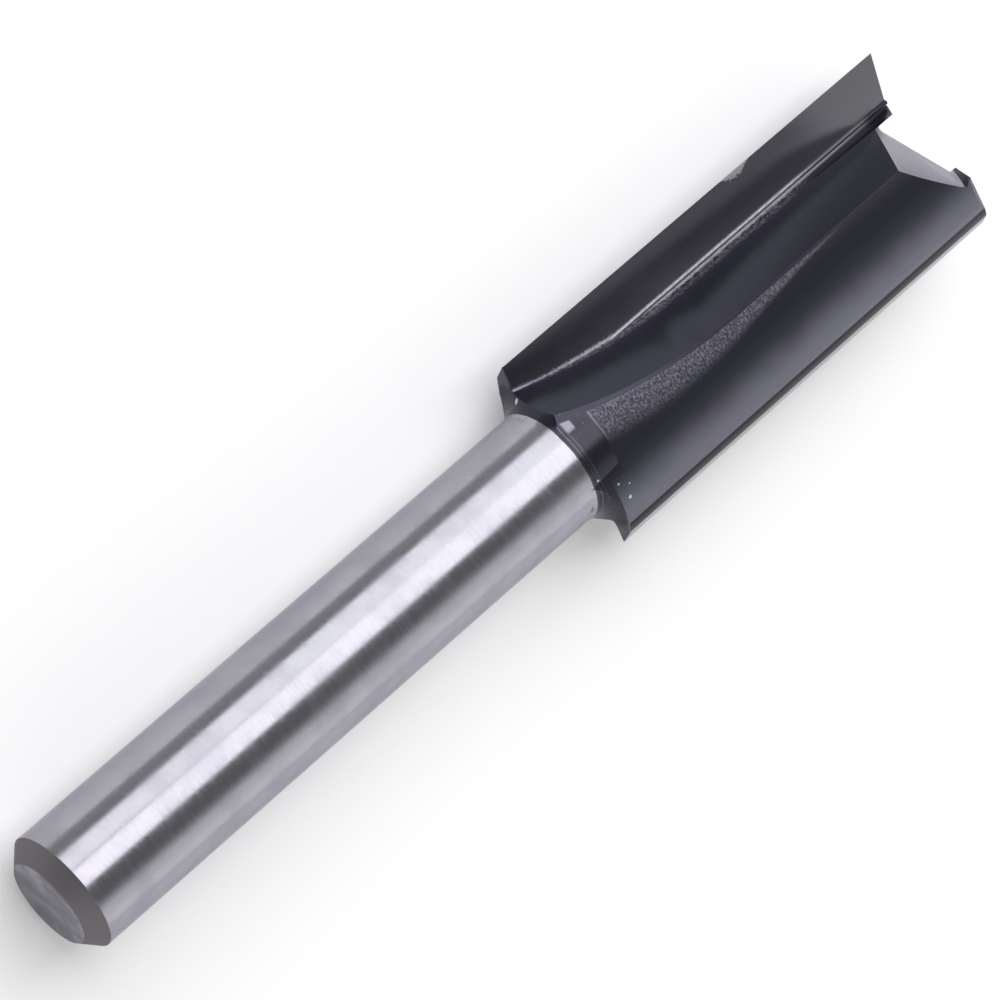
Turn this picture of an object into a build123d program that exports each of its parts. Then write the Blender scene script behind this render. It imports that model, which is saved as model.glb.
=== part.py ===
"""Straight router bit: a one-piece steel shank and two-winged head with brazed carbide blades.

The bit lies with its axis along X. The shank's end face is at the origin and the cutting tip
points along +X. It lies on its shank with both cutting edges at the height of the axis. Both wings are
alike, half a turn apart, so only wing A is drawn.
Lengths are in millimetres, angles in degrees.

Each cross-section is drawn with its x through cutting edge A, along +Y, and its y upwards, towards
the gullet in front of blade A.
"""
from build123d import *
import os
from math import acos, cos, degrees, radians, sin, sqrt, tan

# ---------------------------------------------------------------- driving sizes
# Shank and neck
shank_diameter = 6.0
shoulder_x = 32.4          # shank's end face to the shoulder where the wings start
end_chamfer = 0.85
neck_radius = 1.2          # concave corner between the shank and the shoulder
collar_length = 0.8        # round core carried past the shoulder, between the wings
collar_diameter = 5.9      # at its end; it tapers from the shank's diameter

# Cutting head
cutting_diameter = 10.0
wing_length = 25.75        # shoulder to cutting tip
hook_angle = 21.5          # blade's face against the radial line
gullet_angle = 94.0        # blade's face against the gullet's floor
floor_offset = 1.53        # gullet's floor to the axis
runout_start = 10.6        # the floor starts to rise this far from the shoulder
runout_radius = 36.0       # radius of the rising floor, left by the milling cutter
runout_skew_angle = 8.0    # that cutter's axis leans towards the shank
valley_radius = 0.2        # corner between the face and the floor

# Ground and rounded surfaces behind the cutting edge
land_width = 1.1
land_clearance_angle = 23.0
bevel_width = 1.15
bevel_clearance_angle = 47.0
back_angle = 28.9          # slope of the wing's rounded back where it leaves the bevel

# Ground end
relief_angle = 14.0        # each wing's end falls away behind its edge
relief_width = 0.95        # behind the face, to a steeper second relief
back_relief_angle = 52.0
wall_reach = 1.95          # axis to the wall at each blade's inner end
wall_turn_angle = 13.0     # that wall's normal, clockwise from the line through edge A
gash_depth = 0.8           # cutting corners to the gash's slope, at the axis
gash_angle = 53.6
gash_turn_angle = 52.4     # direction in which the gash falls, from the line through edge A
gash_corner = 0.3          # concave corner between the gash and the wall
gash_reach = 1.02          # axis to the end of the gash on the other wing
gash_end_angle = 30.0      # normal of the gash there, from the line through edge A
slot_depth = 1.28          # cutting corners to the floor of the slot across the web, at the axis
slot_angle = 13.2          # the slot's floor falls towards wing A
corner_reach = 2.4         # axis to the end of the ground corner between the wall and the gullet
corner_depth = 0.95        # cutting corners to the plane of that ground corner, at the axis
corner_angle = 34.5        # that plane rises behind the blade's face

# Carbide blades and their solder
blade_setback = 0.1        # shoulder to the blade's start
blade_margin = 0.29        # steel left on the face between the blade and the gullet's floor
blade_thickness = 1.0
solder_gap = 0.06
bead_radius = 0.13         # bead of solder along the blade's inner edge

# ---------------------------------------------------------------- derived sizes
shank_radius = shank_diameter / 2
cutting_radius = cutting_diameter / 2
overall_length = shoulder_x + wing_length
neck_start = shoulder_x - neck_radius
blade_start = shoulder_x + blade_setback
clear = cutting_diameter   # reach of a cutter, past every surface that it cuts

collar_radius = collar_diameter / 2
tolerance = 1e-6
face_heading = 180 + hook_angle
floor_heading = hook_angle + gullet_angle


def heading(angle):
    """Unit vector at this angle in the section."""
    return Vector(cos(radians(angle)), sin(radians(angle)))


def section(x):
    """Plane of the cross-section at distance x from the shank's end."""
    return Plane.YZ.offset(x)


def across(vector, along=0):
    """A vector of the section in the part's frame, with its component along the bit."""
    return Vector(along, vector.X, vector.Y)


def opposite(part):
    """The same shape half a turn round the bit."""
    return part.rotate(Axis.X, 180)


# ---------------------------------------------------------------- section of wing A
cutting_edge = Vector(cutting_radius, 0)
land_end = cutting_edge + heading(-90 - land_clearance_angle) * land_width
bevel_end = land_end + heading(-90 - bevel_clearance_angle) * bevel_width

# The back is an arc centred on the section's y axis, through the bevel's end.
back_radius = bevel_end.X / sin(radians(back_angle))
back_centre_y = bevel_end.Y + back_radius * cos(radians(back_angle))
back_far_x = -shank_radius
back_far = Vector(back_far_x, back_centre_y - sqrt(back_radius**2 - back_far_x**2))

# The face runs inwards from the edge until it meets the floor.
floor_normal = heading(floor_heading - 90)
face_width = (floor_offset - cutting_edge.dot(floor_normal)) / heading(face_heading).dot(floor_normal)
blade_width = face_width - blade_margin

# Face of blade A: x along the bit, y inwards from the cutting edge, z behind the face.
face = Plane(
    origin=across(cutting_edge),
    x_dir=(1, 0, 0),
    z_dir=across(heading(face_heading + 90)),
)

# ---------------------------------------------------------------- cutters, for wing A
with BuildPart() as back_cutter:
    with BuildSketch(section(neck_start)):
        with BuildLine():
            Polyline(land_end, cutting_edge, (clear, 0), (clear, -clear), (back_far_x, -clear), back_far)
            ThreePointArc(back_far, (0, back_centre_y - back_radius), bevel_end)
            Line(bevel_end, land_end)
        make_face()
    extrude(amount=neck_radius + wing_length + clear)

skewed_floor = across(heading(floor_heading), -tan(radians(runout_skew_angle)))
floor_rise = acos(1 - (face_width + clear / 2) / runout_radius)
with BuildPart() as gullet_cutter:
    with BuildSketch(face):
        with BuildLine():
            rising = CenterArc(
                (shoulder_x + runout_start, face_width - runout_radius),
                runout_radius, 90, degrees(floor_rise),
            )
            Polyline(
                rising @ 0,
                (overall_length + clear, face_width),
                (overall_length + clear, -clear / 2),
                rising @ 1,
            )
        make_face()
    extrude(amount=2 * clear, dir=skewed_floor)
    on_face = gullet_cutter.edges().filter_by(
        lambda edge: abs(face.to_local_coords(edge.center()).Z) < tolerance
    )
    valley = on_face.sort_by(lambda edge: face.to_local_coords(edge.center()).Y)[-2:]
    fillet(valley, valley_radius)

# The end of wing A: relief behind its edge, then a steeper one, then the gash before its face.
relief_slope = tan(radians(relief_angle))
relief_plane = Plane(
    origin=(overall_length, 0, 0),
    x_dir=(0, 1, 0),
    z_dir=across(Vector(0, -1), 1 / relief_slope),
)
with BuildPart() as relief_cutter:
    with BuildSketch(section(shoulder_x)):
        with Locations((0, -clear / 2)):
            Rectangle(2 * clear, clear)
    extrude(amount=2 * wing_length)
    split(bisect_by=relief_plane, keep=Keep.TOP)

# Line on the relief, parallel to the face, where the steeper relief starts.
behind = heading(face_heading + 90)
back_start = cutting_edge + behind * relief_width
back_line = across(heading(face_heading), heading(face_heading).Y * relief_slope)
back_fall = across(behind, -tan(radians(back_relief_angle)))
back_plane = Plane(
    origin=across(back_start, overall_length + back_start.Y * relief_slope),
    x_dir=back_line,
    z_dir=back_line.cross(back_fall),
)
with BuildPart() as back_relief_cutter:
    with BuildSketch(section(shoulder_x)):
        with Locations((0, -clear / 2)):
            Rectangle(2 * clear, clear)
    extrude(amount=2 * wing_length)
    split(bisect_by=back_plane, keep=Keep.TOP)

# The gash and the slot both stop at the wall by the blade's inner end.
wall_normal = heading(-wall_turn_angle)
gash_plane = Plane(
    origin=(overall_length - gash_depth, 0, 0),
    x_dir=across(heading(gash_turn_angle - 90)),
    z_dir=across(heading(gash_turn_angle) * tan(radians(gash_angle)), 1),
)
gash_end_normal = heading(gash_end_angle)
gash_end = Plane(origin=across(gash_end_normal * -gash_reach), z_dir=across(gash_end_normal))
with BuildPart() as gash_cutter:
    with BuildSketch(section(shoulder_x)):
        with Locations(wall_normal * (wall_reach - clear)):
            Rectangle(2 * clear, 4 * clear, rotation=-wall_turn_angle)
    extrude(amount=2 * wing_length)
    split(bisect_by=gash_plane, keep=Keep.TOP)
    split(bisect_by=gash_end, keep=Keep.TOP)
    wall = gash_cutter.faces().sort_by(Axis((0, 0, 0), across(wall_normal)))[-1]
    fillet(wall.edges().sort_by(Axis.X)[0], gash_corner)

slot_plane = Plane(
    origin=(overall_length - slot_depth, 0, 0),
    x_dir=across(heading(90 - wall_turn_angle)),
    z_dir=across(wall_normal * tan(radians(slot_angle)), 1),
)
with BuildPart() as slot_cutter:
    with BuildSketch(section(shoulder_x)):
        Rectangle(2 * wall_reach, 4 * clear, rotation=-wall_turn_angle)
    extrude(amount=2 * wing_length)
    split(bisect_by=slot_plane, keep=Keep.TOP)
    wall = slot_cutter.faces().sort_by(Axis((0, 0, 0), across(wall_normal)))[-1]
    fillet(wall.edges().sort_by(Axis.X)[0], gash_corner)

# The corner left between the wall and the gullet's floor is ground off.
corner_plane = Plane(
    origin=(overall_length - corner_depth, 0, 0),
    x_dir=(0, 1, 0),
    z_dir=across(Vector(0, tan(radians(corner_angle))), 1),
)
with BuildPart() as corner_cutter:
    with BuildSketch(section(shoulder_x)):
        with Locations(wall_normal * corner_reach):
            Rectangle(
                corner_reach - wall_reach + gash_corner, 4 * clear,
                rotation=-wall_turn_angle, align=(Align.MAX, Align.CENTER),
            )
    extrude(amount=2 * wing_length)
    split(bisect_by=corner_plane, keep=Keep.TOP)

# ---------------------------------------------------------------- body: shank, web and both wings
with BuildPart() as body:
    with BuildSketch(Plane.XY):
        with BuildLine():
            Polyline(
                (neck_start, shank_radius),
                (end_chamfer, shank_radius),
                (0, shank_radius - end_chamfer),
                (0, 0),
                (overall_length, 0),
                (overall_length, cutting_radius),
                (shoulder_x, cutting_radius),
                (shoulder_x, shank_radius + neck_radius),
            )
            RadiusArc((neck_start, shank_radius), (shoulder_x, shank_radius + neck_radius), -neck_radius)
        make_face()
    revolve(axis=Axis.X)
    add(back_cutter.part, mode=Mode.SUBTRACT)
    add(opposite(back_cutter.part), mode=Mode.SUBTRACT)
    with BuildSketch(Plane.XY):
        Polygon(
            (neck_start, 0),
            (shoulder_x + collar_length, 0),
            (shoulder_x + collar_length, collar_radius),
            (neck_start, shank_radius),
            align=None,
        )
    revolve(axis=Axis.X)
    for cutter in (
        gullet_cutter.part, relief_cutter.part, back_relief_cutter.part,
        gash_cutter.part, corner_cutter.part,
    ):
        add(cutter, mode=Mode.SUBTRACT)
        add(opposite(cutter), mode=Mode.SUBTRACT)
    add(slot_cutter.part, mode=Mode.SUBTRACT)

# Seat of blade A, open at the shoulder, at the tip and at the gullet.
seat_width = blade_width + solder_gap
seat_depth = blade_thickness + solder_gap
with BuildPart() as seat_cutter:
    with BuildSketch(face):
        with Locations((blade_start, -clear / 2)):
            Rectangle(wing_length + clear, clear / 2 + seat_width, align=(Align.MIN, Align.MIN))
    extrude(amount=seat_depth)

with body:
    add(seat_cutter.part, mode=Mode.SUBTRACT)
    add(opposite(seat_cutter.part), mode=Mode.SUBTRACT)

# ---------------------------------------------------------------- carbide blade A
with BuildPart() as blade_a:
    with BuildSketch(face):
        with Locations((blade_start, 0)):
            Rectangle(overall_length - blade_start, blade_width, align=(Align.MIN, Align.MIN))
    extrude(amount=blade_thickness)
    for cutter in (back_cutter.part, relief_cutter.part, back_relief_cutter.part):
        add(cutter, mode=Mode.SUBTRACT)

# ---------------------------------------------------------------- solder under blade A
solder_section = Plane(
    origin=face.from_local_coords((blade_start, 0, 0)),
    x_dir=face.y_dir,
    z_dir=(1, 0, 0),
)
bead_centre = blade_width + solder_gap / 2
with BuildPart() as braze_a:
    with BuildSketch(solder_section):
        with Locations((bead_centre, 0)):
            Circle(bead_radius)
            Rectangle(2 * bead_radius, bead_radius, align=(Align.CENTER, Align.MIN), mode=Mode.SUBTRACT)
        with Locations((0, blade_thickness)):
            Rectangle(seat_width, solder_gap, align=(Align.MIN, Align.MIN))
        with Locations((blade_width, 0)):
            Rectangle(solder_gap, seat_depth, align=(Align.MIN, Align.MIN))
    extrude(amount=overall_length - blade_start)
    for cutter in (back_cutter.part, relief_cutter.part, back_relief_cutter.part, body.part):
        add(cutter, mode=Mode.SUBTRACT)

# ---------------------------------------------------------------- the same pieces on wing B
with BuildPart() as blade_b:
    add(opposite(blade_a.part))

with BuildPart() as braze_b:
    add(opposite(braze_a.part))

# ---------------------------------------------------------------- files
os.makedirs("parts", exist_ok=True)

body.part.label = "body"
export_step(body.part, "parts/body.step")
blade_a.part.label = "blade_a"
export_step(blade_a.part, "parts/blade_a.step")
blade_b.part.label = "blade_b"
export_step(blade_b.part, "parts/blade_b.step")
braze_a.part.label = "braze_a"
export_step(braze_a.part, "parts/braze_a.step")
braze_b.part.label = "braze_b"
export_step(braze_b.part, "parts/braze_b.step")
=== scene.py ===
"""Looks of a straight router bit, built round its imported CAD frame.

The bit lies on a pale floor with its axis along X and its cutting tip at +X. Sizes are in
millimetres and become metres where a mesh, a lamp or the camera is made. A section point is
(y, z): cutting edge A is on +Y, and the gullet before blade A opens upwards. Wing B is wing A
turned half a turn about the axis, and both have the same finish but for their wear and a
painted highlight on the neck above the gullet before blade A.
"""
import math

import bmesh
import bpy
from mathutils import Matrix, Vector


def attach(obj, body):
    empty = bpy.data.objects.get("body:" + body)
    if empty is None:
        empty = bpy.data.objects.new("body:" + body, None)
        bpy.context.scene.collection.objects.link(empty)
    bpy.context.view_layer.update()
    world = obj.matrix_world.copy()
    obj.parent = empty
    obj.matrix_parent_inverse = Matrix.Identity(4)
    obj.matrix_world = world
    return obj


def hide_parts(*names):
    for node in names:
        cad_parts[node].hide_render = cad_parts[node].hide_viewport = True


MM = 0.001
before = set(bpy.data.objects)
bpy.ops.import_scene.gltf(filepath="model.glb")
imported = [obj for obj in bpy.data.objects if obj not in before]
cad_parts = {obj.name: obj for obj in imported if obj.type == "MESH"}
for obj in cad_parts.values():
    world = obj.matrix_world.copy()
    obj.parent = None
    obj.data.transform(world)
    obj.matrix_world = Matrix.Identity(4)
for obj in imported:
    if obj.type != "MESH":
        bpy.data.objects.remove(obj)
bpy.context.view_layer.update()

# ---------------------------------------------------------------- sizes of the CAD frame
SHANK_RADIUS = 3.0
CUTTING_RADIUS = 5.0
END_CHAMFER = 0.85
SHOULDER = 32.4
TIP = 58.15
NECK_START = SHOULDER - 1.2
COLLAR_RADIUS = 2.975               # the core goes on a little way between the wings
BACK_RADIUS = 7.722                 # rounded back of each wing
BACK_CENTRE = 4.961                 # its centre lies across the axis from it

HOOK = 21.5                         # a blade's face against the radial line
LAND_CLEARANCE = 23.0
FLOOR_HEADING = 115.5               # gullet's floor in the section, from the valley to the ridge
VALLEY = (2.218, -1.096)            # blade A's face meets the gullet's floor
RIDGE_Y = 0.385                     # gullet A's floor meets wing B's back
RUNOUT_END = 42.4                   # the ridge is straight from here to the tip
RUNOUT_RADIUS = 36.0

WALL_TURN = 13.0                    # ground end: the wall at each blade's inner end,
GASH_ANGLE = 53.6                   # the gash before each blade's face and the way it falls,
GASH_TURN = 52.4
SLOT_ANGLE = 13.2                   # the slot across the web,
CORNER_ANGLE = 34.5                 # the corner between the wall and the gullet,
RELIEF = 14.0                       # and the relief behind each edge
GROUND_DEPTH = 4.0                  # these faces reach this far from the tip
WEB_DEPTH = 1.75                    # all faces of the web's end are ground, to this depth
WEB_REACH = 1.9                     # and this far from the axis

# ---------------------------------------------------------------- sizes of the finish
EDGE_ANGLE = 28.0                   # sharper corners than this stay edges
EDGE_WIDTH = 0.025
FLAT_ANGLE = 0.05                   # facets this near to one plane are joined
MERGE_DISTANCE = 0.0005
ROUND_TOLERANCE = 0.06
SAME_WAY = 0.998                    # cosine between normals that count as one direction
FACE_WAY = 0.95                     # the same for a blade's face, with its broken edges

# A pair says where a mask starts to grow and where it is full, along the bit unless named.
FACE_TO_CHAMFER = (0.03, 0.06)
SOFT_EDGE = 0.02                    # half the width of a finish's soft edge
COAT_START = SHOULDER - 0.95        # the coating's edge on the neck
NECK_TO_HEAD = (SHOULDER + 0.05, SHOULDER - 0.05)
RINGS_END = (SHOULDER - 0.4, SHOULDER - 0.55)
SPECKS_END = (SHOULDER + 3, SHOULDER)

BLAST_START = 33.3                  # rough strip beside the ridge
BLAST_END = 52.0
BLAST_FADE = 5.0                    # the last stretch, where it grows faint
BLAST_WIDTH = 2.1                   # at its start
BLAST_END_WIDTH = 0.15
# the strip's first line, a painted highlight
STRIP_HIGHLIGHT_LINE = (BLAST_START + 0.16, BLAST_START + 0.08)
COLLAR_END = (BLAST_START, BLAST_START - 0.1)
COLLAR_SIDE = (-2.1, -1.5)          # in back_y
BACK_SHADE_FADE = (-1.6, -3.6)            # in back_y, where the coat turns from black to grey as its painted shade fades
RIDGE_SHADE_LINE = (0.26, 0.16)            # from the ridge: painted shade line before the strip
STRIP_EDGE = (0.12, 0.22)           # from the ridge

SOLDER_START = (SHOULDER + 0.3, SHOULDER + 0.8)
SPATTER_END = (TIP - 5.5, TIP - 8)
SOLDER_SMOOTH_END = (TIP - 8, TIP - 5)
# where the solder gives way to painted shade near the tip
SOLDER_SHADE_END = (TIP - 2.2, TIP - 1.4)
SOLDER_OUTER = (-2.8, -3.4)         # in back_y, where the solder lies under the coat
BARE_CARBIDE = (TIP - 7, TIP - 4)   # at the blade's edge
BARE_SLANT = 0.9                    # deeper in the face, it starts later by this share

CHIP_START = 47.1                   # scraped stretch of blade A's edge
CHIP_END = 49.5
CHIP_DEPTH = 0.36
CHIP_CORE = 0.2                     # half the length of its deepest stretch

NECK_HIGHLIGHT_X = (31.88, 32.45)           # painted highlight on the neck, above the gullet before blade A
NECK_HIGHLIGHT_Y = (1.2, 2.3)
NICKS = (                           # bare flecks round the shoulder: x, y, z and half their size
    (32.05, 3.35, -0.05, 0.16),
    (32.95, -3.0, 2.15, 0.1),
    (33.2, -2.45, 2.35, 0.06),
    (32.65, -2.1, 2.45, 0.07),
    (31.8, -1.3, 2.7, 0.06),
)


# ---------------------------------------------------------------- small geometry helpers
def heading(angle):
    """Unit vector of the section at this angle, in degrees from +Y towards +Z."""
    return Vector((math.cos(math.radians(angle)), math.sin(math.radians(angle))))


def at(x, point):
    """A point of the section at distance x along the bit."""
    return Vector((x, point[0], point[1]))


def slope(angle):
    return math.tan(math.radians(angle))


def round_normal(centre, normal, point):
    """Exact normal at a point of the shank, the collar or a wing's back, or None elsewhere."""
    rounds = [(COLLAR_RADIUS, 0.0), (BACK_RADIUS, -BACK_CENTRE), (BACK_RADIUS, BACK_CENTRE)]
    if centre.x < NECK_START:
        rounds = [(SHANK_RADIUS, 0.0)]
    for radius, axis_z in rounds:
        way = Vector((0, centre.y, centre.z - axis_z))
        if abs(way.length - radius) < ROUND_TOLERANCE and normal.dot(way.normalized()) > SAME_WAY:
            return Vector((0, point.y, point.z - axis_z)).normalized()
    return None


def true_normals(mesh):
    """Shades the long round faces by their exact curve, whatever their neighbours are."""
    normals = [Vector(corner.vector) for corner in mesh.corner_normals]
    for face in mesh.polygons:
        for loop in face.loop_indices:
            point = mesh.vertices[mesh.loops[loop].vertex_index].co / MM
            exact = round_normal(face.center / MM, face.normal, point)
            if exact is not None:
                normals[loop] = exact
    mesh.normals_split_custom_set(normals)


def dressed_copy(node, name):
    """Copy of a CAD node with its facets joined, its edges broken and its curves smooth."""
    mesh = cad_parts[node].data.copy()
    thing = bpy.data.objects.new(name, mesh)
    bpy.context.scene.collection.objects.link(thing)
    build = bmesh.new()
    build.from_mesh(mesh)
    bmesh.ops.remove_doubles(build, verts=build.verts, dist=MERGE_DISTANCE * MM)
    bmesh.ops.dissolve_limit(
        build, angle_limit=math.radians(FLAT_ANGLE), verts=build.verts, edges=build.edges
    )
    build.to_mesh(mesh)
    build.free()
    bevel = thing.modifiers.new("edges", "BEVEL")
    bevel.width = EDGE_WIDTH * MM
    bevel.segments = 2
    bevel.limit_method = "ANGLE"
    bevel.angle_limit = math.radians(EDGE_ANGLE)
    bevel.harden_normals = True
    bpy.context.view_layer.update()
    result = thing.evaluated_get(bpy.context.evaluated_depsgraph_get())
    thing.data = bpy.data.meshes.new_from_object(result)
    thing.modifiers.clear()
    thing.data.shade_smooth()
    thing.data.set_sharp_from_angle(angle=math.radians(EDGE_ANGLE))
    true_normals(thing.data)
    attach(thing, "root")
    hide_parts(node)
    return thing


# ---------------------------------------------------------------- node trees
class Tree:
    """A node tree, with short calls for the nodes that work on numbers."""

    def __init__(self, tree):
        self.tree = tree

    def feed(self, socket, value):
        if isinstance(value, bpy.types.NodeSocket):
            self.tree.links.new(value, socket)
        else:
            socket.default_value = value

    def split(self, vector):
        node = self.tree.nodes.new("ShaderNodeSeparateXYZ")
        self.feed(node.inputs[0], vector)
        return node.outputs

    def math(self, operation, first, second=0.0, third=0.0):
        node = self.tree.nodes.new("ShaderNodeMath")
        node.operation = operation
        for socket, value in zip(node.inputs, (first, second, third)):
            self.feed(socket, value)
        return node.outputs[0]

    def fold(self, operation, values):
        """One number from many, taken in order."""
        result = values[0]
        for value in values[1:]:
            result = self.math(operation, result, value)
        return result

    def times(self, *factors):
        return self.fold("MULTIPLY", factors)

    def add(self, *terms):
        return self.fold("ADD", terms)

    def largest(self, *values):
        return self.fold("MAXIMUM", values)

    def minus(self, first, second):
        return self.math("SUBTRACT", first, second)

    def times_plus(self, value, factor, term):
        return self.math("MULTIPLY_ADD", value, factor, term)

    def unsigned(self, value):
        return self.math("ABSOLUTE", value)

    def sign(self, value):
        return self.math("SIGN", value)

    def band(self, value, low, high, first=0.0, second=1.0):
        """Smooth step from first at low to second at high."""
        node = self.tree.nodes.new("ShaderNodeMapRange")
        node.interpolation_type = "SMOOTHSTEP"
        for socket, number in zip(node.inputs[:5], (value, low, high, first, second)):
            self.feed(socket, number)
        return node.outputs[0]


class Material(Tree):
    """A material's tree, with calls for places in millimetres, noise, colours and the shader."""

    def __init__(self, name):
        self.material = bpy.data.materials.new(name)
        self.material.use_nodes = True
        super().__init__(self.material.node_tree)
        self.shader = self.tree.nodes["Principled BSDF"]
        self.coordinates = self.tree.nodes.new("ShaderNodeTexCoord")

    def place(self):
        """Object coordinates in millimetres as three outputs."""
        scaled = self.tree.nodes.new("ShaderNodeVectorMath")
        scaled.operation = "SCALE"
        scaled.inputs["Scale"].default_value = 1 / MM
        self.feed(scaled.inputs[0], self.coordinates.outputs["Object"])
        return self.split(scaled.outputs[0])

    def normal(self):
        return self.split(self.coordinates.outputs["Normal"])

    def noise(self, size, detail=3.0, stretch=(1, 1, 1), roughness=0.55):
        """Noise whose blobs are about size millimetres across, before the stretch.

        A long stretch in y and z makes lines round the bit, as turning and grinding leave.
        """
        scaled = self.tree.nodes.new("ShaderNodeVectorMath")
        scaled.operation = "MULTIPLY"
        self.feed(scaled.inputs[0], self.coordinates.outputs["Object"])
        scaled.inputs[1].default_value = [1 / (MM * size * s) for s in stretch]
        node = self.tree.nodes.new("ShaderNodeTexNoise")
        self.feed(node.inputs["Vector"], scaled.outputs[0])
        node.inputs["Scale"].default_value = 1.0
        node.inputs["Detail"].default_value = detail
        node.inputs["Roughness"].default_value = roughness
        return node.outputs["Fac"]

    def cloud(self, size, stretch=(1, 1, 1)):
        """Soft mottling from 0 to 1."""
        return self.band(self.noise(size, stretch=stretch), 0.35, 0.7)

    def ragged(self, noise, width):
        """The noise as an offset from -width / 2 to width / 2, which makes an edge uneven."""
        return self.times_plus(noise, width, -width / 2)

    def fleck(self, spot, ragged):
        """Mask of a small spot: x, y, z and half its size in millimetres."""
        node = self.tree.nodes.new("ShaderNodeVectorMath")
        node.operation = "DISTANCE"
        self.feed(node.inputs[0], self.coordinates.outputs["Object"])
        node.inputs[1].default_value = [v * MM for v in spot[:3]]
        distance = self.times_plus(node.outputs["Value"], 1 / MM, ragged)
        return self.band(distance, spot[3], spot[3] * 0.6)

    def mix(self, share, first, second):
        """Mix of two colours."""
        node = self.tree.nodes.new("ShaderNodeMix")
        node.data_type = "RGBA"
        self.feed(node.inputs[0], share)
        self.feed(node.inputs[6], first)
        self.feed(node.inputs[7], second)
        return node.outputs[2]

    def blend(self, share, first, second):
        """Mix of two numbers."""
        node = self.tree.nodes.new("ShaderNodeMix")
        self.feed(node.inputs[0], share)
        self.feed(node.inputs[2], first)
        self.feed(node.inputs[3], second)
        return node.outputs[0]

    def bump(self, height, distance, strength):
        node = self.tree.nodes.new("ShaderNodeBump")
        self.feed(node.inputs["Height"], height)
        node.inputs["Distance"].default_value = distance * MM
        self.feed(node.inputs["Strength"], strength)
        self.feed(self.shader.inputs["Normal"], node.outputs[0])

    def set(self, **values):
        for name, value in values.items():
            self.feed(self.shader.inputs[name.replace("_", " ")], value)
        return self.material


# ---------------------------------------------------------------- colours
EDGE_TINT = (0.72, 0.72, 0.76, 1)    # reflections at a grazing angle
SHANK = (0.375, 0.37, 0.41, 1)
SHANK_CLOUD = (0.335, 0.33, 0.37, 1)
TURNED_END = (0.22, 0.213, 0.235, 1)
END_SPOT = (0.31, 0.305, 0.345, 1)
CHAMFER = (0.19, 0.177, 0.19, 1)
COAT = (0.14, 0.14, 0.174, 1)
# coat with painted shade, along the ridges
COAT_RIDGE_SHADE = (0.05, 0.05, 0.067, 1)
# the neck's coat, darkened as painted shade
NECK_SHADED_COAT = (0.038, 0.038, 0.05, 1)
NECK_RING = (0.09, 0.09, 0.115, 1)
# painted highlight on the neck
NECK_HIGHLIGHT = (0.2, 0.2, 0.23, 1)
NICK = (0.6, 0.6, 0.62, 1)
# painted shade for the gullets and the creases by the valleys
GULLET_SHADE = (0.038, 0.038, 0.053, 1)
# painted glints and highlight line on the rough strip, and specks on the coat
GLINT_AND_SPECK = (0.18, 0.18, 0.225, 1)
GROUND = (0.31, 0.305, 0.35, 1)
GROUND_CLOUD = (0.33, 0.325, 0.37, 1)
CARBIDE_FACE = (0.08, 0.079, 0.098, 1)
# painted glow on the blade's face, towards the valley
CARBIDE_VALLEY_GLOW = (0.19, 0.188, 0.225, 1)
CARBIDE_BARE = (0.155, 0.15, 0.168, 1)
CHIP = (0.38, 0.38, 0.4, 1)
BEVEL = (0.02, 0.02, 0.027, 1)
LAND = (0.3, 0.3, 0.325, 1)
LAND_CLOUD = (0.37, 0.37, 0.4, 1)
SOLDER = (0.3, 0.296, 0.33, 1)
SOLDER_LOW = (0.2, 0.198, 0.22, 1)
# smooth solder, also the painted highlight along the valley
SMOOTH_SOLDER_AND_GLOW = (0.12, 0.118, 0.135, 1)
SOLDER_SPATTER = (0.27, 0.266, 0.3, 1)
PALE_FLOOR = (0.9, 0.9, 0.9, 1)
WHITE = (1, 1, 1, 1)


# ---------------------------------------------------------------- the body's finish
class BodyPlaces:
    """Outputs of the body's tree that say where a point lies, for the masks of its finish."""

    def __init__(self, n):
        self.x, self.y, self.z = n.place()
        _, normal_y, normal_z = n.normal()
        self.uneven_x = n.add(self.x, n.ragged(n.noise(0.12, 2.0), 0.06))
        self.coated = n.band(self.uneven_x, COAT_START - SOFT_EDGE, COAT_START + SOFT_EDGE)
        self.turned = n.band(self.x, END_CHAMFER + SOFT_EDGE, END_CHAMFER - SOFT_EDGE)
        self.cloud = n.cloud(1.8)

        # Backs: the sign of z turns wing A's back onto wing B's.
        turn = n.sign(self.z)
        self.back_y = n.times(self.y, turn)
        self.on_back = n.band(n.times(normal_z, turn), 0.8, 0.9)

        # The ridge and the valley move outwards where the gullet's floor rises to the shoulder.
        runout = n.math("MAXIMUM", n.minus(RUNOUT_END, self.x), 0.0)
        shift = n.times(runout, runout, 1 / (2 * RUNOUT_RADIUS))
        self.from_ridge = n.minus(n.times_plus(shift, 1.1, RIDGE_Y), self.back_y)

        # Gullets: the side that the floor faces turns gullet B onto gullet A.
        way = heading(FLOOR_HEADING - 90)
        facing = n.add(n.times(normal_y, way.x), n.times(normal_z, way.y))
        side = n.sign(facing)
        from_valley_y = n.minus(n.times(self.y, side), n.add(VALLEY[0], shift))
        from_valley_z = n.minus(n.times(self.z, side), VALLEY[1])
        squares = n.add(
            n.times(from_valley_y, from_valley_y),
            n.times(from_valley_z, from_valley_z),
        )
        self.from_valley = n.math("SQRT", squares)
        # Floors and the corner by each valley: the mask of the gullets' painted shade.
        floor = n.band(n.unsigned(facing), 0.8, 0.93)
        corner = n.band(self.from_valley, 0.65, 0.45)
        self.gullet = n.times(n.largest(floor, corner), self.coated)


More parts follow.
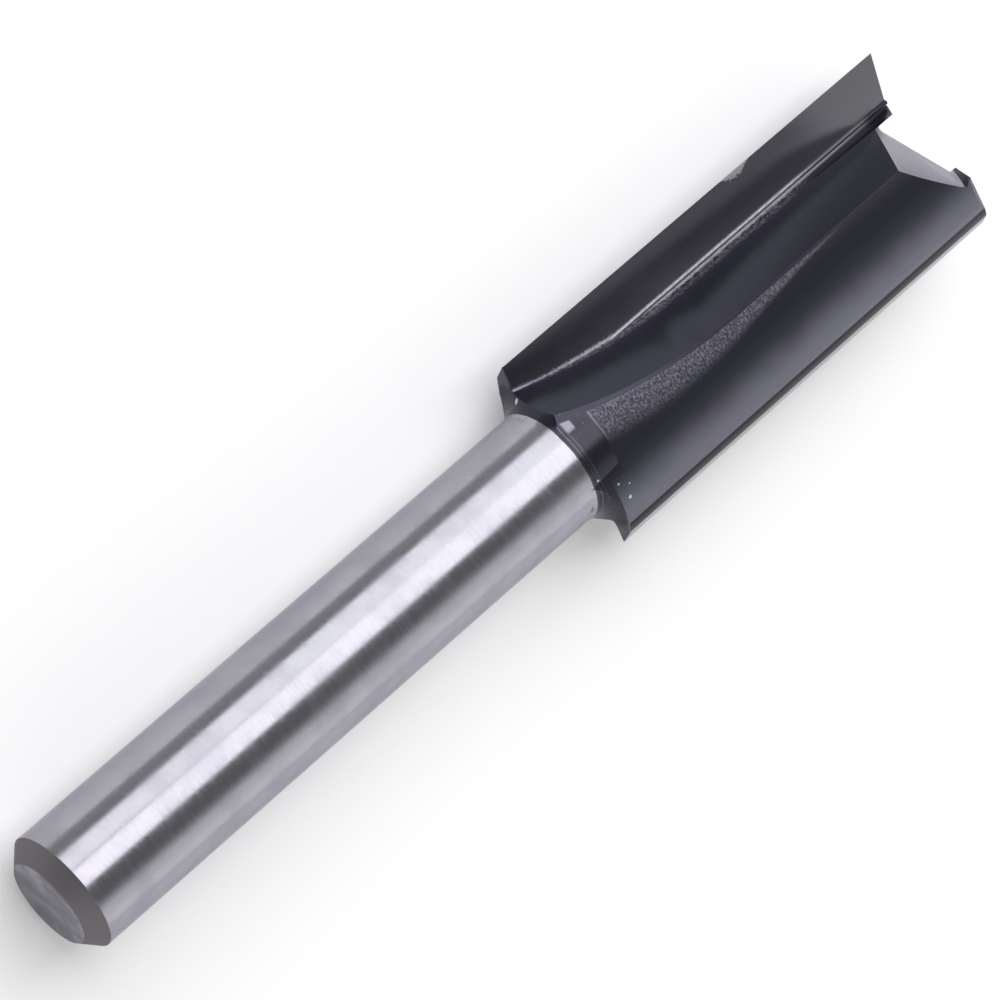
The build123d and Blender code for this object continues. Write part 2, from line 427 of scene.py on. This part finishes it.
def shank_color(n, spot):
    """Ground steel, with a darker chamfer and a mottled end face."""
    mottled = n.mix(n.band(n.noise(1.1), 0.4, 0.68), TURNED_END, END_SPOT)
    end = n.mix(n.band(spot.x, *FACE_TO_CHAMFER), mottled, CHAMFER)
    return n.mix(spot.turned, n.mix(spot.cloud, SHANK, SHANK_CLOUD), end)


def shaded_back_color(n, spot):
    """Coat of the wings' backs, with painted shade that makes it blackest along the ridge and
    greyer by the bevel.
    """
    across = n.times_plus(spot.cloud, 0.2, spot.back_y)
    return n.mix(n.band(across, *BACK_SHADE_FADE), COAT_RIDGE_SHADE, COAT)


def neck_mask(n, spot):
    """The neck, and the collar between the wings, whose coat is darkened as painted shade."""
    collar = n.times(n.band(spot.x, *COLLAR_END), n.band(spot.back_y, *COLLAR_SIDE))
    return n.times(spot.coated, n.largest(collar, n.band(spot.x, *NECK_TO_HEAD)))


def neck_color(n, spot):
    """Black coat darkened as painted shade, with faint turned rings and a painted highlight at
    one spot.
    """
    rings = n.times(
        n.band(n.noise(0.1, 1.0, (1, 60, 60)), 0.48, 0.62),
        n.band(spot.x, *RINGS_END),
    )
    # Painted highlight at one spot on the neck.
    painted_highlight = n.times(
        n.band(spot.uneven_x, NECK_HIGHLIGHT_X[0], NECK_HIGHLIGHT_X[0] + 0.1),
        n.band(spot.uneven_x, NECK_HIGHLIGHT_X[1], NECK_HIGHLIGHT_X[1] - 0.1),
        n.band(spot.y, NECK_HIGHLIGHT_Y[0], NECK_HIGHLIGHT_Y[0] + 0.15),
        n.band(spot.y, NECK_HIGHLIGHT_Y[1], NECK_HIGHLIGHT_Y[1] - 0.15),
        n.band(spot.z, 1.0, 1.5),
    )
    return n.mix(painted_highlight, n.mix(rings, NECK_SHADED_COAT, NECK_RING), NECK_HIGHLIGHT)


def blasted_strip(n, spot):
    """Mask of the rough strip on each wing's back, beside the ridge."""
    width = n.band(spot.x, BLAST_START, BLAST_END, BLAST_WIDTH, BLAST_END_WIDTH)
    share = n.math("DIVIDE", spot.from_ridge, n.math("MAXIMUM", width, 0.01))
    return n.times(
        n.band(share, 1.0, 0.5),
        n.band(spot.from_ridge, *STRIP_EDGE),
        n.band(spot.x, BLAST_START, BLAST_START + 0.12),
        n.band(spot.x, BLAST_END, BLAST_END - BLAST_FADE),
        spot.on_back,
    )


def glints_and_specks(n, spot, strip, grit):
    """Mask of the strip's painted glints and the painted highlight along its first line, and of
    specks on the coat.
    """
    # painted glints on the rough strip
    painted_glints = n.times(strip, n.band(grit, 0.46, 0.6))
    # painted highlight along the strip's first line
    painted_highlight_line = n.times(n.band(spot.x, *STRIP_HIGHLIGHT_LINE), strip, 1.4)
    specks = n.times(
        n.band(n.noise(0.16, 2.0), 0.73, 0.76),
        n.band(spot.x, *SPECKS_END),
        spot.coated,
    )
    return n.largest(painted_glints, specks, painted_highlight_line)


def spilled_solder(n, spot):
    """Masks of the solder on the gullets' floors: its lumps, and the smooth layer under them,
    which also carries a painted highlight along the valley.
    """
    start = n.band(spot.x, *SOLDER_START)
    spatter = n.times(
        n.band(spot.from_valley, 0.75, 0.2),
        n.band(spot.x, *SPATTER_END),
        start,
        n.band(n.noise(0.16, 4.0, (1.6, 1, 1), 0.7), 0.42, 0.62),
        spot.gullet,
    )
    # smooth solder under the lumps, also a painted highlight along the valley
    solder_film_and_glow = n.times(
        n.band(spot.from_valley, 0.65, 0.2),
        start,
        n.band(spot.x, *reversed(SOLDER_SHADE_END)),
        spot.gullet,
    )
    return spatter, solder_film_and_glow


def finished_steel():
    """Bright ground shank, darker turned end, and the blue-black coat from the neck on, with
    painted shade in the gullets, on the neck and along the ridges, and painted highlights and
    glints.
    """
    n = Material("steel_body")
    spot = BodyPlaces(n)
    grit = n.noise(0.1, 4.0, (1, 1.6, 1.6), 0.8)
    strip = blasted_strip(n, spot)
    spatter, solder_film_and_glow = spilled_solder(n, spot)
    uneven = n.ragged(n.noise(0.1, roughness=0.7), 0.26)
    nicks = n.largest(*(n.fleck(nick, uneven) for nick in NICKS))

    # painted shade in the gullets
    coat = n.mix(spot.gullet, shaded_back_color(n, spot), GULLET_SHADE)
    # painted shade on the neck and collar, with the neck's painted highlight
    coat = n.mix(neck_mask(n, spot), coat, neck_color(n, spot))
    # painted shade line under the ridge
    coat = n.mix(n.times(n.band(spot.from_ridge, *RIDGE_SHADE_LINE), spot.coated), coat, GULLET_SHADE)
    # painted glints and highlight line on the strip, and specks
    coat = n.mix(glints_and_specks(n, spot, strip, grit), coat, GLINT_AND_SPECK)
    # smooth solder with its painted highlight along the valley
    coat = n.mix(solder_film_and_glow, coat, SMOOTH_SOLDER_AND_GLOW)
    coat = n.mix(spatter, coat, SOLDER_SPATTER)
    coat = n.mix(nicks, coat, NICK)

    streaks = n.noise(0.09, 2.0, (1, 12, 12))
    ground_rough = n.add(
        n.band(spot.cloud, 0.0, 1.0, 0.16, 0.2),
        n.band(streaks, 0.35, 0.65, 0.0, 0.06),
    )
    turned_rough = n.band(spot.x, *FACE_TO_CHAMFER, 0.42, 0.6)
    shank_rough = n.blend(spot.turned, ground_rough, turned_rough)
    coat_rough = n.blend(n.largest(strip, spatter), 0.23, 0.5)

    grain = n.blend(spot.coated, n.noise(0.05, 2.0, (1, 40, 40)), n.noise(0.07))
    relief = n.add(
        n.times(grain, n.blend(spot.coated, 0.35, 0.2)),
        n.times(strip, grit, 1.6),
        n.times(spatter, 0.3),
    )
    n.bump(relief, 0.01, 0.6)
    return n.set(
        Base_Color=n.mix(spot.coated, shank_color(n, spot), coat),
        Metallic=n.blend(spot.coated, 1.0, 0.8),
        Roughness=n.blend(spot.coated, shank_rough, coat_rough),
        Specular_Tint=EDGE_TINT,
    )


def ground_steel():
    """The body's ground end, with fine grinding lines."""
    n = Material("ground_end")
    color = n.mix(n.cloud(0.7), GROUND, GROUND_CLOUD)
    n.bump(n.noise(0.04, 2.0, (1, 9, 1)), 0.004, 0.6)
    return n.set(Base_Color=color, Metallic=1.0, Roughness=0.36)


# ---------------------------------------------------------------- the blades' and solder's finish
def scraped_edge(n, x, y, depth):
    """Mask of the scraped stretch of blade A's edge."""
    middle = (CHIP_START + CHIP_END) / 2
    half = (CHIP_END - CHIP_START) / 2
    reach = n.band(n.unsigned(n.minus(x, middle)), half, CHIP_CORE, 0.0, CHIP_DEPTH)
    jagged = n.times_plus(n.noise(0.22, 5.0, roughness=0.8), 2.4, -1.25)
    uneven_reach = n.times_plus(jagged, reach, reach)
    return n.times(
        n.band(n.minus(uneven_reach, depth), -0.01, 0.04),
        n.band(reach, 0.01, 0.06),
        n.band(y, 0.0, 1.0),
    )


def carbide_face():
    """A blade's face: coated, greyer away from the edge as a painted glow from the valley, and
    bare near the tip.
    """
    n = Material("carbide_face")
    x, y, _ = n.place()
    depth = n.minus(CUTTING_RADIUS, n.unsigned(y))
    chipped = scraped_edge(n, x, y, depth)
    bare = n.band(n.add(x, n.times(depth, -BARE_SLANT)), *BARE_CARBIDE)
    # painted glow, growing towards the valley
    inner = n.band(n.times_plus(n.noise(1.4), 0.5, depth), 0.7, 2.8)
    color = n.mix(bare, n.mix(inner, CARBIDE_FACE, CARBIDE_VALLEY_GLOW), CARBIDE_BARE)
    color = n.mix(chipped, color, CHIP)
    n.bump(n.add(n.noise(0.06, 2.0), n.times(chipped, n.noise(0.09, 4.0), 4.0)), 0.006, 0.5)
    return n.set(Base_Color=color, Metallic=0.75, Roughness=n.blend(chipped, 0.25, 0.6))


def carbide_bevel():
    """Dark second clearance behind the land."""
    n = Material("carbide_bevel")
    n.bump(n.noise(0.06, 2.0), 0.005, 0.4)
    return n.set(Base_Color=BEVEL, Metallic=1.0, Roughness=0.36)


def carbide_land():
    """Bright ground land behind the cutting edge, and the blade's ground end."""
    n = Material("carbide_land")
    color = n.mix(n.cloud(0.5, (3, 1, 1)), LAND, LAND_CLOUD)
    n.bump(n.noise(0.05, 2.0, (1, 9, 9)), 0.004, 0.6)
    return n.set(Base_Color=color, Metallic=1.0, Roughness=0.32)


def solder():
    """Lumpy bead that turns smooth and then dark with painted shade towards the tip, coated on
    its outer side.
    """
    n = Material("solder")
    x, y, z = n.place()
    lumps = n.noise(0.14, 4.0, (1.6, 1, 1), 0.65)
    smooth_end = n.band(x, *SOLDER_SMOOTH_END)
    outer = n.band(n.times(y, n.sign(z)), *SOLDER_OUTER)
    color = n.mix(n.band(lumps, 0.35, 0.6), SOLDER_LOW, SOLDER)
    color = n.mix(smooth_end, color, SMOOTH_SOLDER_AND_GLOW)
    # painted shade at the bead's end by the tip
    color = n.mix(n.band(x, *SOLDER_SHADE_END), color, GULLET_SHADE)
    color = n.mix(outer, color, COAT)
    n.bump(lumps, 0.014, n.times(n.blend(smooth_end, 0.9, 0.1), n.minus(1.0, outer)))
    return n.set(Base_Color=color, Metallic=0.9, Roughness=0.4)


# ---------------------------------------------------------------- which face has which finish
def both_wings(vector):
    """The unit vector for wing A, and the same turned half a turn for wing B."""
    return [vector.normalized(), Vector((vector.x, -vector.y, -vector.z)).normalized()]


def near(normal, directions):
    return any(normal.dot(direction) > SAME_WAY for direction in directions)


WALL_WAY = heading(-WALL_TURN)
GROUND_NORMALS = (
    both_wings(at(1, heading(GASH_TURN) * slope(GASH_ANGLE)))
    + both_wings(at(1, WALL_WAY * slope(SLOT_ANGLE)))
    + both_wings(at(0, -WALL_WAY))
    + both_wings(Vector((1, 0, slope(CORNER_ANGLE))))
    + both_wings(Vector((1, 0, slope(RELIEF))))
)
LAND_NORMALS = both_wings(at(0, heading(-LAND_CLEARANCE)))
FACE_NORMAL = at(0, heading(HOOK + 90))


def body_surface(centre, normal):
    """0 for the shank's and the coat's finish, and 1 for the ground end."""
    web_end = centre.x > TIP - WEB_DEPTH and max(abs(centre.y), abs(centre.z)) < WEB_REACH
    ground = centre.x > TIP - GROUND_DEPTH and near(normal, GROUND_NORMALS)
    return 1 if ground or web_end else 0


def blade_surface(centre, normal):
    """0 for the face towards the gullet, 1 for ground lands and ends, 2 for the bevel behind."""
    if near(normal, LAND_NORMALS) or near(normal, GROUND_NORMALS):
        return 1
    return 0 if abs(normal.dot(FACE_NORMAL)) > FACE_WAY else 2


def assign(thing, materials, choose):
    """Gives each face one of the materials, by its centre in millimetres and its normal."""
    thing.data.materials.clear()
    for material in materials:
        thing.data.materials.append(material)
    for face in thing.data.polygons:
        face.material_index = choose(face.center / MM, face.normal)


# ---------------------------------------------------------------- pieces
body = dressed_copy("body", "bit_body")
assign(body, [finished_steel(), ground_steel()], body_surface)

blade_materials = [carbide_face(), carbide_land(), carbide_bevel()]
solder_material = solder()
for side in ("a", "b"):
    blade = dressed_copy("blade_" + side, "carbide_" + side)
    assign(blade, blade_materials, blade_surface)
    bead = dressed_copy("braze_" + side, "solder_" + side)
    assign(bead, [solder_material], lambda centre, normal: 0)


# ---------------------------------------------------------------- floor and light
FLOOR_HALF = 3000.0
FLOOR_CORNERS = ((-1, -1), (1, -1), (1, 1), (-1, 1))
FLOOR_GAP = 0.002            # the shank lies this far above the floor
FLOOR_LIFT = 0.18            # added to the floor's own shade for the camera and in reflections

WORLD_DIM = 0.2              # strength of the world all round
WORLD_FRONT = 0.8            # added on the -Y side, up to about halfway up
WORLD_LOW = 0.25             # added near the horizon all round

LAMP_LEAN = 24.0             # degrees from upright towards the tip
LAMP_DISTANCE = 400.0
LAMP_LENGTH = 560.0


def make_floor():
    level = -SHANK_RADIUS - FLOOR_GAP
    corners = [Vector((FLOOR_HALF * i, FLOOR_HALF * j, level)) * MM for i, j in FLOOR_CORNERS]
    mesh = bpy.data.meshes.new("floor")
    mesh.from_pydata(corners, [], [(0, 1, 2, 3)])
    floor = bpy.data.objects.new("floor", mesh)
    bpy.context.scene.collection.objects.link(floor)
    n = Material("pale_floor")
    path = n.tree.nodes.new("ShaderNodeLightPath").outputs
    seen = n.largest(path["Is Camera Ray"], path["Is Glossy Ray"], path["Is Transmission Ray"])
    mesh.materials.append(n.set(
        Base_Color=PALE_FLOOR,
        Roughness=1.0,
        Specular_IOR_Level=0.0,
        Emission_Color=WHITE,
        Emission_Strength=n.times(seen, FLOOR_LIFT),
    ))


def make_world():
    """White surroundings, dim but for the front and the horizon."""
    world = bpy.data.worlds.new("studio")
    bpy.context.scene.world = world
    world.use_nodes = True
    n = Tree(world.node_tree)
    _, way_y, way_z = n.split(n.tree.nodes.new("ShaderNodeTexCoord").outputs["Generated"])
    front = n.times(n.band(way_z, 0.78, 0.5), n.band(way_y, 0.05, -0.35))
    low = n.band(way_z, 0.5, 0.1)
    light = n.times_plus(low, WORLD_LOW, n.times_plus(front, WORLD_FRONT, WORLD_DIM))
    sky = n.tree.nodes["Background"]
    n.feed(sky.inputs["Color"], WHITE)
    n.feed(sky.inputs["Strength"], light)


def softbox(name, side, width, radiance, tint):
    """Rectangular lamp that faces the bit, its long side along it.

    It stands at side degrees from upright, towards +Y, and leans towards the tip.
    """
    lamp = bpy.data.lights.new(name, "AREA")
    lamp.shape = "RECTANGLE"
    lamp.size = LAMP_LENGTH * MM
    lamp.size_y = width * MM
    lamp.energy = radiance * math.pi * lamp.size * lamp.size_y
    lamp.color = tint
    thing = bpy.data.objects.new(name, lamp)
    bpy.context.scene.collection.objects.link(thing)
    lean = math.radians(LAMP_LEAN)
    away = Vector((math.sin(lean), 0, 0)) + at(0, heading(90 - side)) * math.cos(lean)
    long_way = (Vector((1, 0, 0)) - away * away.x).normalized()
    thing.matrix_world = Matrix.LocRotScale(
        (Vector((TIP / 2, 0, 0)) + away * LAMP_DISTANCE) * MM,
        Matrix((long_way, away.cross(long_way), away)).transposed().to_quaternion(),
        None,
    )


# ---------------------------------------------------------------- camera
BIT_TURN = 41.05             # the bit's axis in the picture, from level, its tip upwards
BIT_LEAN = 24.31             # the tip is further from the camera than the shank
BIT_ROLL = 13.9              # the section's turn about the axis, as the camera sees it
END_IN_VIEW = (-19.370, -17.344, -192.916)     # the shank's end face, from the camera
SENSOR = 36.0
LENS = 162.0
CLIP_START = 10.0


def make_camera():
    turn, lean, roll = (math.radians(v) for v in (BIT_TURN, BIT_LEAN, BIT_ROLL))
    along = Vector((
        math.cos(turn) * math.cos(lean),
        math.sin(turn) * math.cos(lean),
        -math.sin(lean),
    ))
    nearer = (Vector((0, 0, 1)) - along * along.z).normalized()
    beside = nearer.cross(along)
    y_axis = beside * math.cos(roll) + nearer * math.sin(roll)
    z_axis = nearer * math.cos(roll) - beside * math.sin(roll)
    from_view = Matrix((along, y_axis, z_axis))
    camera = bpy.data.cameras.new("camera")
    camera.sensor_width = SENSOR
    camera.lens = LENS
    camera.clip_start = CLIP_START * MM
    thing = bpy.data.objects.new("camera", camera)
    bpy.context.scene.collection.objects.link(thing)
    place = from_view @ (-Vector(END_IN_VIEW) * MM)
    thing.matrix_world = Matrix.LocRotScale(place, from_view.to_quaternion(), None)
    bpy.context.scene.camera = thing


make_floor()
make_world()
softbox("key", side=12, width=235, radiance=2.33, tint=(1, 0.975, 1))
softbox("key_far", side=47, width=225, radiance=1.9, tint=(0.97, 0.98, 1))
make_camera()
bpy.context.scene.view_settings.view_transform = "Standard"
